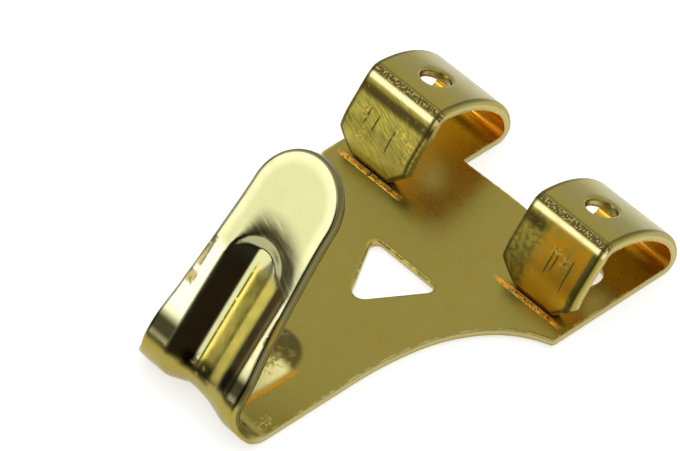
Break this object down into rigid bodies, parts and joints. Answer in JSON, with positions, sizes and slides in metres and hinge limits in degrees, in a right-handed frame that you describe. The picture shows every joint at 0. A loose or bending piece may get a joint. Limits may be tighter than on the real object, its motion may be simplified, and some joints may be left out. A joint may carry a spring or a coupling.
{
  "type": "picture hook",
  "caption": "Brass-plated sheet-metal picture hook with a ribbed, upturned round-ended hook and curled guides for slanting nails.",
  "frame": {"origin": "on the flat back that lies on the wall, midway across the width and midway up the height of the whole part", "axes": "+Z out of the wall, +Y up the wall towards the nail guides, +X across"},
  "size_m": [0.026, 0.0366, 0.017],
  "materials": {
    "plated_steel": "bright yellow plating over pressed steel sheet, satin with tooling marks"
  },
  "bodies": {
    "root": {"picture_hook": "plated_steel"}
  },
  "joints": []
}
